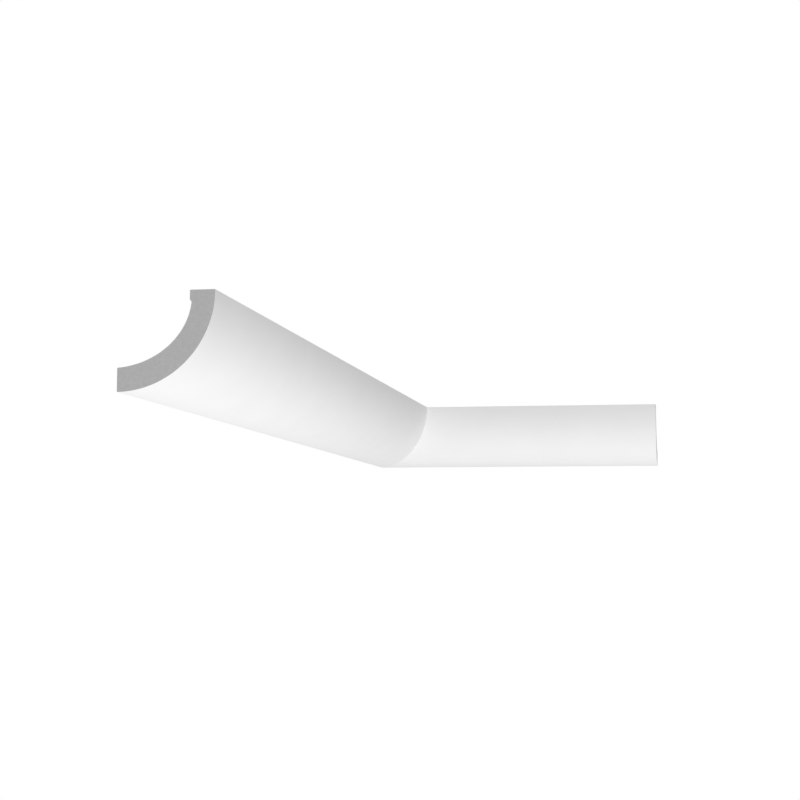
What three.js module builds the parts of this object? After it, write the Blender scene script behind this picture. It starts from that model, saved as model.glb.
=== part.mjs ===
// A light cove cornice with an internal corner, in millimetres, +Z up.
// Two lengths of one moulding are mitred and bonded at the corner. The outer face is a quarter
// round, and behind it lies a trough that is open at the top.
// The origin is the middle of the long length's back face. +X points from that face towards the
// lip, and +Y runs along it to the corner, where the short length sets off along +X.

import * as THREE from 'three';
import { toCreasedNormals } from 'three/addons/utils/BufferGeometryUtils.js';

// Section of the moulding: x is measured from the back, and y from the bottom arris.
const projection = 142;
const height = 143;
const troughCentreX = -8.9;
const troughCentreY = 135;
const troughRadiusX = 116.8;
const troughRadiusY = 100.7;
const lipFaceX = 104.75;
const lipFootY = 129;
const lipChamferEndY = 125.3;

// Lengths of the two runs, measured along their backs from the corner, and the joint's width.
const longLength = 2000;
const shortLength = 707;
const mitreGap = 0.3;

// The curve count gives each quarter round twice as many facets.
const curveSegments = 18;
const creaseAngle = Math.PI / 9;

const troughAngleAtBack = -Math.acos(-troughCentreX / troughRadiusX);
const troughAngleAtLip = Math.asin((lipChamferEndY - troughCentreY) / troughRadiusY);
const backFaceHeight = troughCentreY + troughRadiusY * Math.sin(troughAngleAtBack);

// The section starts at the bottom arris and goes round by the outer face, the top of the lip,
// its chamfered foot and the trough. The back face closes it.
function sectionShape() {
  const shape = new THREE.Shape();
  shape.moveTo(0, 0);
  shape.absarc(0, projection, projection, -Math.PI / 2, 0, false);
  shape.lineTo(projection, height);
  shape.lineTo(lipFaceX, height);
  shape.lineTo(lipFaceX, lipFootY);
  shape.absellipse(
    troughCentreX, troughCentreY, troughRadiusX, troughRadiusY,
    troughAngleAtLip, troughAngleAtBack, true,
  );
  shape.closePath();
  return shape;
}

// A length lies along z, square at one end and mitred at the other. The mitre takes off each
// point's distance from the back, and half of the joint's gap.
function lengthGeometry(length, mitreAtStart) {
  const geometry = new THREE.ExtrudeGeometry(sectionShape(), {
    depth: length,
    bevelEnabled: false,
    curveSegments,
  });
  const position = geometry.getAttribute('position');
  const gapAlongLength = (mitreGap / 2) * Math.SQRT2;
  for (let i = 0; i < position.count; i += 1) {
    const atStart = position.getZ(i) < length / 2;
    if (atStart === mitreAtStart) {
      const cutBack = position.getX(i) + gapAlongLength;
      position.setZ(i, atStart ? cutBack : length - cutBack);
    }
  }
  return toCreasedNormals(geometry, creaseAngle);
}

// The moulding is rigid foam with a matte white coat.
function lengthMesh(name, length, mitreAtStart) {
  const material = new THREE.MeshStandardMaterial({
    color: 0xf2f2f2,
    roughness: 0.8,
    metalness: 0,
  });
  const mesh = new THREE.Mesh(lengthGeometry(length, mitreAtStart), material);
  mesh.name = name;
  mesh.rotation.x = Math.PI / 2;
  return mesh;
}

// The long length runs from the corner to its square end, with its back face on x = 0.
function longRun() {
  const run = new THREE.Group();
  run.add(lengthMesh('left_length', longLength, true));
  return run;
}

// The short length runs from its square end to the corner. Its back face turns to face +Y.
function shortRun() {
  const run = new THREE.Group();
  run.add(lengthMesh('right_length', shortLength, false));
  run.rotation.z = -Math.PI / 2;
  run.position.x = shortLength;
  return run;
}

const cornice = new THREE.Group();
cornice.add(longRun(), shortRun());
cornice.position.set(0, longLength / 2, -backFaceHeight / 2);

export default cornice;
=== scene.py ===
# A light cove cornice with an internal corner: its surfaces, the light and the camera.
import math

import bpy
from mathutils import Matrix, Vector
from mathutils.geometry import tessellate_polygon


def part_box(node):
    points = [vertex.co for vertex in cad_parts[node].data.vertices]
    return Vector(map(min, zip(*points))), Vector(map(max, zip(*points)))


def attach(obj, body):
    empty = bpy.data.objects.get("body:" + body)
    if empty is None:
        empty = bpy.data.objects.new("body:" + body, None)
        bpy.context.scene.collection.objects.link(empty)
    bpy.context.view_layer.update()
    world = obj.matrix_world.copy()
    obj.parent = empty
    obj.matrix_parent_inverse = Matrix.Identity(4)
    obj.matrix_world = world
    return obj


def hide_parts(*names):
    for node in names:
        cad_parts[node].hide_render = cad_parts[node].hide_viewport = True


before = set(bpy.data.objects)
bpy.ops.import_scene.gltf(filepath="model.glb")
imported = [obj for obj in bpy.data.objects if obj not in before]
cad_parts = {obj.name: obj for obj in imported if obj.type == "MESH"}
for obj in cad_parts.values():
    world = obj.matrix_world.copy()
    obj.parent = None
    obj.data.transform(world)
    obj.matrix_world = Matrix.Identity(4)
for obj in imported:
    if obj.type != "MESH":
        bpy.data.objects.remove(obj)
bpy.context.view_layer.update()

MM = 0.001
UP = Vector((0, 0, 1))

# Places from the frame. The corner is where the two back faces meet the bottom arris.
left_low, left_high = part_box("left_length")
right_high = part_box("right_length")[1]
CORNER = Vector((left_low.x, right_high.y, left_low.z))
PROJECTION = left_high.x - left_low.x
HEIGHT = left_high.z - left_low.z
LEFT_LENGTH = right_high.y - left_low.y
RIGHT_LENGTH = right_high.x - left_low.x

# The section behind the outer face, measured from the back and from the bottom arris.
TROUGH_CENTRE = Vector((-8.9, 135.0)) * MM
TROUGH_RADII = Vector((116.8, 100.7)) * MM
LIP_FACE = 104.75 * MM

# The lip's foot has a small round below its face, and a small hollow where it meets the trough.
# The round's centre is given by its height, and the hollow by its angle on the trough's ellipse.
FOOT_ROUND = 0.7 * MM
FOOT_ROUND_HEIGHT = 129.2 * MM
FOOT_HOLLOW = 1.0 * MM
FOOT_HOLLOW_ANGLE = -5.5

# Rounding of the moulded arrises, the edge that the saw breaks off, and the glued joint's width.
ARRIS = 1.2 * MM
SAWN_EDGE = 0.35 * MM
JOINT = 0.1 * MM

# Fineness of the meshes.
ROUND_STEPS = 6
FACE_STEPS = 48
TROUGH_STEPS = 42
RING_SPACING = 50.0 * MM
SAME_POINT = 0.001 * MM


def angle_of(vector):
    return math.degrees(math.atan2(vector[1], vector[0]))


def on_ellipse(centre, radii, degrees):
    """A point on an ellipse and the unit normal that leaves the ellipse there."""
    c, s = math.cos(math.radians(degrees)), math.sin(math.radians(degrees))
    point = Vector((centre[0] + radii[0] * c, centre[1] + radii[1] * s))
    return point, Vector((c / radii[0], s / radii[1])).normalized()


def arc(centre, radii, start, end, steps, hollow=False):
    """Points on an elliptical arc with their normals, which point to its centre on a hollow."""
    points = []
    for k in range(steps + 1):
        point, normal = on_ellipse(centre, radii, start + (end - start) * k / steps)
        points.append((point, -normal if hollow else normal))
    return points


def rounding(centre, radius, start, end, hollow=False):
    return arc(centre, (radius, radius), start, end, ROUND_STEPS, hollow)


def outer_face():
    """The quarter round, with its arris at the back and its arris at the top of the lip."""
    centre = Vector((0, PROJECTION))
    reach = PROJECTION - ARRIS
    at_back = Vector((ARRIS, PROJECTION - math.sqrt(reach ** 2 - ARRIS ** 2)))
    top = HEIGHT - ARRIS
    at_top = Vector((math.sqrt(reach ** 2 - (top - PROJECTION) ** 2), top))
    start, end = angle_of(at_back - centre), angle_of(at_top - centre)
    return (rounding(at_back, ARRIS, 180, 360 + start)
            + arc(centre, (PROJECTION, PROJECTION), start, end, FACE_STEPS)
            + rounding(at_top, ARRIS, end, 90))


def lip_foot():
    """The lip's lower edge: a small round, then a slope, then a hollow that joins the trough."""
    convex = Vector((LIP_FACE + FOOT_ROUND, FOOT_ROUND_HEIGHT))
    meet, leaving = on_ellipse(TROUGH_CENTRE, TROUGH_RADII, FOOT_HOLLOW_ANGLE)
    concave = meet - leaving * FOOT_HOLLOW
    between = concave - convex
    lean = math.degrees(math.acos((FOOT_ROUND + FOOT_HOLLOW) / between.length))
    slope = angle_of(between) % 360 - lean
    return (rounding(convex, FOOT_ROUND, 180, slope)
            + rounding(concave, FOOT_HOLLOW, slope - 180, angle_of(leaving), hollow=True))


def trough():
    """The hollow behind the face, from the foot of the lip down to its arris at the back."""
    back_angle = -math.degrees(math.acos((ARRIS - TROUGH_CENTRE.x) / TROUGH_RADII.x))
    end, leaving = on_ellipse(TROUGH_CENTRE, TROUGH_RADII, back_angle)
    arris_centre = Vector((ARRIS, end.y + leaving.y * ARRIS))
    return (arc(TROUGH_CENTRE, TROUGH_RADII, FOOT_HOLLOW_ANGLE, back_angle, TROUGH_STEPS,
                hollow=True)
            + rounding(arris_centre, ARRIS, angle_of(-leaving), 180))


def section():
    """The closed outline of the moulding, each point with its outward normal."""
    lip_top = rounding((LIP_FACE + ARRIS, HEIGHT - ARRIS), ARRIS, 90, 180)
    outline = []
    for point, normal in outer_face() + lip_top + lip_foot() + trough():
        if not outline or (point - outline[-1][0]).length > SAME_POINT:
            outline.append((point, normal))
    return outline


def vertex_rings(outline, out, away, length, spans):
    """The vertices of a length, ring after ring from its mitre to its square end, with normals.

    The mitre takes off each point's distance from the back, and half of the joint. The last ring
    outlines the sawn end, inside the edge that the saw breaks off.
    """
    half_joint = JOINT / 2 * math.sqrt(2)
    body_end = length - SAWN_EDGE

    def place(point, along):
        return CORNER + out * point.x + UP * point.y + away * along

    verts, normals = [], []
    for k in range(spans + 1):
        for point, normal in outline:
            start = point.x + half_joint
            verts.append(place(point, start + (body_end - start) * k / spans))
            normals.append(out * normal.x + UP * normal.y)
    for point, normal in outline:
        verts.append(place(point - normal * SAWN_EDGE, length))
        normals.append(away)
    return verts, normals


def side_faces(count, spans, reverse):
    """Quads along the length, in spans between rings that have count vertices each."""
    faces = []
    for span in range(spans):
        base, above = span * count, (span + 1) * count
        for i in range(count):
            j = (i + 1) % count
            face = (base + i, base + j, above + j, above + i)
            faces.append(face[::-1] if reverse else face)
    return faces


def cap_faces(outline, first, reverse):
    """Triangles that close an end, whose ring of vertices begins at first."""
    flat = [Vector((p.x, p.y, 0)) for p, _ in outline]
    faces = []
    for a, b, c in tessellate_polygon([flat]):
        clockwise = (flat[b] - flat[a]).cross(flat[c] - flat[a]).z < 0
        face = (first + a, first + b, first + c)
        faces.append(face[::-1] if clockwise != reverse else face)
    return faces


def length_mesh(name, out, away, length):
    """The mesh of one length: material 0 on its moulded faces, and material 1 on its two ends."""
    outline = section()
    count = len(outline)
    spans = math.ceil(length / RING_SPACING)
    reverse = out.cross(UP).dot(away) < 0
    verts, normals = vertex_rings(outline, out, away, length, spans)

    sides = side_faces(count, spans + 1, reverse)
    square_end = cap_faces(outline, (spans + 1) * count, reverse)
    mitre_end = cap_faces(outline, 0, not reverse)
    mitre_normal = (out - away).normalized()
    face_normals = [normals[v] for face in sides for v in face]
    face_normals += [away] * (3 * len(square_end)) + [mitre_normal] * (3 * len(mitre_end))
    sawn = [0] * len(sides) + [1] * (len(square_end) + len(mitre_end))

    mesh = bpy.data.meshes.new(name)
    mesh.from_pydata(verts, [], sides + square_end + mitre_end)
    mesh.polygons.foreach_set("material_index", sawn)
    mesh.polygons.foreach_set("use_smooth", [True] * len(sawn))
    mesh.normals_split_custom_set(face_normals)
    return mesh


def moulding(name, node, out, away, length, materials):
    """One length as a piece that stands for its node.

    out points from its back face to its lip, and away from the corner to its square end.
    """
    mesh = length_mesh(name, out, away, length)
    for material in materials:
        mesh.materials.append(material)
    piece = bpy.data.objects.new(name, mesh)
    bpy.context.scene.collection.objects.link(piece)
    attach(piece, "root")
    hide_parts(node)


def grey(level):
    return (level, level, level, 1)


WHITE = grey(1)


def new_material(name):
    """A material with a Principled shader, with its node tree and that shader."""
    material = bpy.data.materials.new(name)
    material.use_nodes = True
    return material, material.node_tree, material.node_tree.nodes["Principled BSDF"]


def set_inputs(tree, node, inputs):
    """Sets a node's inputs, each to a value or to a link from another node's output."""
    for key, value in inputs.items():
        if isinstance(value, bpy.types.NodeSocket):
            tree.links.new(value, node.inputs[key])
        else:
            node.inputs[key].default_value = value


def add_node(tree, kind, inputs=None, **settings):
    node = tree.nodes.new(kind)
    for key, value in settings.items():
        setattr(node, key, value)
    set_inputs(tree, node, inputs or {})
    return node


def object_place(tree):
    return add_node(tree, "ShaderNodeTexCoord").outputs["Object"]


def noise(tree, place, scale, detail=2.0):
    node = add_node(tree, "ShaderNodeTexNoise",
                    {"Vector": place, "Scale": scale, "Detail": detail})
    return node.outputs["Fac"]


def remap(tree, value, low, high, to_low, to_high):
    """Takes low to to_low and high to to_high, and holds what lies beyond them."""
    node = add_node(tree, "ShaderNodeMapRange",
                    {"Value": value, "From Min": low, "From Max": high,
                     "To Min": to_low, "To Max": to_high})
    return node.outputs["Result"]


def blend(tree, factor, first, second):
    """Mixes two colours, each a value or an output, from first at 0 to second at 1."""
    node = add_node(tree, "ShaderNodeMix", {"Factor": factor, "A": first, "B": second},
                    data_type="RGBA")
    return node.outputs["Result"]


def bump(tree, height, distance, below=None):
    """Raises the surface by a height from 0 to 1 times distance, on top of the bump below."""
    inputs = {"Height": height, "Distance": distance}
    if below is not None:
        inputs["Normal"] = below
    return add_node(tree, "ShaderNodeBump", inputs).outputs["Normal"]


# Most of a noise's values, and of a cell's random ones, lie between these.
NOISE_LOW, NOISE_HIGH = 0.3, 0.7

# The coat. Each pattern has a number of repeats to the metre, and a bump a height as well.
COAT_SHADES = grey(0.866), grey(0.884)
COAT_CLOUDING = 9.0
COAT_ROUGHNESS = 0.65, 0.69
COAT_SHEEN = 45.0
COAT_WAVES, COAT_WAVE_HEIGHT = 12.0, 0.03 * MM
COAT_STIPPLE, COAT_STIPPLE_HEIGHT = 620.0, 0.08 * MM
COAT_IOR = 1.46


def coat_material():
    """The matte white coat: a fine sprayed stipple over slow waves, and faint clouding."""
    material, tree, shader = new_material("matte_white_coat")
    place = object_place(tree)
    clouding = remap(tree, noise(tree, place, COAT_CLOUDING, detail=4.0),
                     NOISE_LOW, NOISE_HIGH, 0.0, 1.0)
    sheen = remap(tree, noise(tree, place, COAT_SHEEN), NOISE_LOW, NOISE_HIGH, *COAT_ROUGHNESS)
    waves = bump(tree, noise(tree, place, COAT_WAVES, detail=1.0), COAT_WAVE_HEIGHT)
    stipple = bump(tree, noise(tree, place, COAT_STIPPLE, detail=3.0), COAT_STIPPLE_HEIGHT, waves)
    set_inputs(tree, shader, {"Base Color": blend(tree, clouding, *COAT_SHADES),
                              "Roughness": sheen, "Normal": stipple, "IOR": COAT_IOR})
    return material


# The bare foam, with its patterns given as the coat's are. The saw opens each cell to a hollow.
# In cell widths from the cell's middle, the hollow's flat floor ends at one distance and its rim
# lies at another. The shallowest hollow is a share of the deepest.
FOAM_SHADES = grey(0.66), grey(0.72)
FOAM_GRAIN = 160.0
FOAM_CELLS, FOAM_CELL_DEPTH = 1800.0, 0.12 * MM
FOAM_CELL_FLOOR, FOAM_CELL_RIM = 0.1, 0.6
FOAM_SHALLOWEST_CELL = 0.15
# Painted shade: the opened cells are painted this darker grey, deepest on their floors.
FOAM_CELL_PAINTED_SHADE = grey(0.5)
FOAM_SAW_MARKS, FOAM_SAW_MARK_HEIGHT = 90.0, 0.024 * MM
FOAM_SAW_WANDER = 3.0
FOAM_ROUGHNESS = 0.92
FOAM_IOR = 1.4


def opened_cells(tree, place):
    """How far the saw has opened the foam: 0 between the cells, up to 1 on a hollow's floor. This
    sets both the depth of each hollow and the painted shade in it.
    """
    cells = add_node(tree, "ShaderNodeTexVoronoi", {"Vector": place, "Scale": FOAM_CELLS})
    bowl = remap(tree, cells.outputs["Distance"], FOAM_CELL_FLOOR, FOAM_CELL_RIM, 1.0, 0.0)
    depth = remap(tree, cells.outputs["Color"], NOISE_LOW, NOISE_HIGH, FOAM_SHALLOWEST_CELL, 1.0)
    product = add_node(tree, "ShaderNodeMath", {0: bowl, 1: depth}, operation="MULTIPLY")
    return product.outputs["Value"]


def saw_marks(tree, place):
    """The bump of the level ridges that the saw leaves."""
    ridges = add_node(tree, "ShaderNodeTexWave",
                      {"Vector": place, "Scale": FOAM_SAW_MARKS, "Distortion": FOAM_SAW_WANDER},
                      bands_direction="Z")
    return bump(tree, ridges.outputs["Fac"], FOAM_SAW_MARK_HEIGHT)


def sawn_foam_material():
    """The bare grey foam of a cut end: opened cells with painted shade in them, over the marks of
    the saw.
    """
    material, tree, shader = new_material("sawn_grey_foam")
    place = object_place(tree)
    hollows_and_painted_shade = opened_cells(tree, place)
    grain = remap(tree, noise(tree, place, FOAM_GRAIN, detail=4.0),
                  NOISE_LOW, NOISE_HIGH, 0.0, 1.0)
    # The grain is the foam's own tone; the darker grey in the opened cells is painted shade.
    shade = blend(tree, hollows_and_painted_shade, blend(tree, grain, *FOAM_SHADES), FOAM_CELL_PAINTED_SHADE)
    pitted = bump(tree, hollows_and_painted_shade, -FOAM_CELL_DEPTH, saw_marks(tree, place))
    set_inputs(tree, shader, {"Base Color": shade, "Normal": pitted,
                              "Roughness": FOAM_ROUGHNESS, "IOR": FOAM_IOR})
    return material


# The floor is far enough below for a view from underneath to stay above it. It fades into the
# backdrop from a distance off its middle out to its rim, and glows faintly.
FLOOR_DROP = 6.5
FLOOR_RADIUS = 14.0
FLOOR_FADE_START = 3.5
FLOOR_RIM_POINTS = 96
FLOOR_SHADE = grey(0.85)
FLOOR_ROUGHNESS = 0.9
FLOOR_GLOW = 0.15


def floor_material():
    """Plain pale floor that fades into the backdrop with its distance from the middle."""
    material, tree, shader = new_material("pale_floor")
    set_inputs(tree, shader, {"Base Color": FLOOR_SHADE, "Roughness": FLOOR_ROUGHNESS,
                              "Emission Color": WHITE, "Emission Strength": FLOOR_GLOW})
    distance = add_node(tree, "ShaderNodeVectorMath", {0: object_place(tree)},
                        operation="LENGTH")
    fade = add_node(tree, "ShaderNodeMapRange",
                    {"Value": distance.outputs["Value"],
                     "From Min": FLOOR_FADE_START, "From Max": FLOOR_RADIUS},
                    interpolation_type="SMOOTHSTEP")
    clear = add_node(tree, "ShaderNodeBsdfTransparent")
    mix = add_node(tree, "ShaderNodeMixShader",
                   {0: fade.outputs["Result"], 1: shader.outputs["BSDF"],
                    2: clear.outputs["BSDF"]})
    set_inputs(tree, tree.nodes["Material Output"], {"Surface": mix.outputs["Shader"]})
    return material


def floor():
    """A round floor."""
    turns = [math.tau * k / FLOOR_RIM_POINTS for k in range(FLOOR_RIM_POINTS)]
    rim = [Vector((math.cos(turn), math.sin(turn), 0)) * FLOOR_RADIUS for turn in turns]
    mesh = bpy.data.meshes.new("floor")
    mesh.from_pydata(rim, [], [list(range(FLOOR_RIM_POINTS))])
    mesh.materials.append(floor_material())
    disc = bpy.data.objects.new("floor", mesh)
    disc.location = (RIGHT_LENGTH / 2, 0, CORNER.z - FLOOR_DROP)
    bpy.context.scene.collection.objects.link(disc)


# The backdrop lights the part more dimly than it shows.
BACKDROP_SEEN = 1.0
BACKDROP_LIGHT = 0.37


def backdrop():
    """An even white world."""
    world = bpy.data.worlds.new("studio")
    bpy.context.scene.world = world
    world.use_nodes = True
    tree = world.node_tree
    glow = tree.nodes["Background"]
    set_inputs(tree, glow, {"Color": WHITE, "Strength": BACKDROP_LIGHT})
    seen = add_node(tree, "ShaderNodeBackground", {"Color": WHITE, "Strength": BACKDROP_SEEN})
    rays = add_node(tree, "ShaderNodeLightPath")
    mix = add_node(tree, "ShaderNodeMixShader",
                   {0: rays.outputs["Is Camera Ray"], 1: glow.outputs["Background"],
                    2: seen.outputs["Background"]})
    set_inputs(tree, tree.nodes["World Output"], {"Surface": mix.outputs["Shader"]})


def soft_light(name, place, width, power):
    """A round lamp at a place measured from the corner, turned to the middle of the left length."""
    data = bpy.data.lights.new(name, "AREA")
    data.shape = "DISK"
    data.size = width
    data.energy = power
    light = bpy.data.objects.new(name, data)
    light.location = CORNER + Vector(place)
    aim = CORNER + Vector((PROJECTION, -LEFT_LENGTH / 2, 0))
    light.rotation_euler = (aim - light.location).to_track_quat("-Z", "Y").to_euler()
    light.visible_camera = False
    bpy.context.scene.collection.objects.link(light)


def lights():
    """Two lamps low down in front for the outer face, one above it and one behind."""
    soft_light("low", place=(0.88, -1.83, -4.26), width=1.4, power=42)
    soft_light("front", place=(2.5, -4.5, -4.3), width=1.4, power=155)
    soft_light("top", place=(0.5, -0.9, 4.0), width=3.5, power=75)
    soft_light("back", place=(-3.5, 3.5, 2.2), width=2.5, power=150)


# The camera, measured from the corner, with its turn from straight ahead, its tilt and its roll.
CAMERA_PLACE = Vector((0.7968, -4.1964, -0.2282))
YAW, PITCH, ROLL = (math.radians(angle) for angle in (-10.128, 5.414, 0.151))
LENS = 74.095
SENSOR = 36.0
CLIP_END = 100.0


def camera():
    """The camera, looking slightly up at the corner."""
    forward = Vector((math.sin(YAW) * math.cos(PITCH), math.cos(YAW) * math.cos(PITCH),
                      math.sin(PITCH)))
    level = Vector((math.cos(YAW), -math.sin(YAW), 0))
    upright = level.cross(forward)
    right = level * math.cos(ROLL) + upright * math.sin(ROLL)
    data = bpy.data.cameras.new("camera")
    data.lens = LENS
    data.sensor_width = SENSOR
    data.clip_end = CLIP_END
    eye = bpy.data.objects.new("camera", data)
    axes = Matrix((right, right.cross(forward), -forward)).transposed()
    eye.matrix_world = Matrix.Translation(CORNER + CAMERA_PLACE) @ axes.to_4x4()
    bpy.context.scene.collection.objects.link(eye)
    bpy.context.scene.camera = eye


finish = [coat_material(), sawn_foam_material()]
moulding("left_moulding", "left_length", Vector((1, 0, 0)), Vector((0, -1, 0)),
         LEFT_LENGTH, finish)
moulding("right_moulding", "right_length", Vector((0, -1, 0)), Vector((1, 0, 0)),
         RIGHT_LENGTH, finish)
floor()
backdrop()
lights()
camera()
bpy.context.scene.view_settings.view_transform = "Standard"
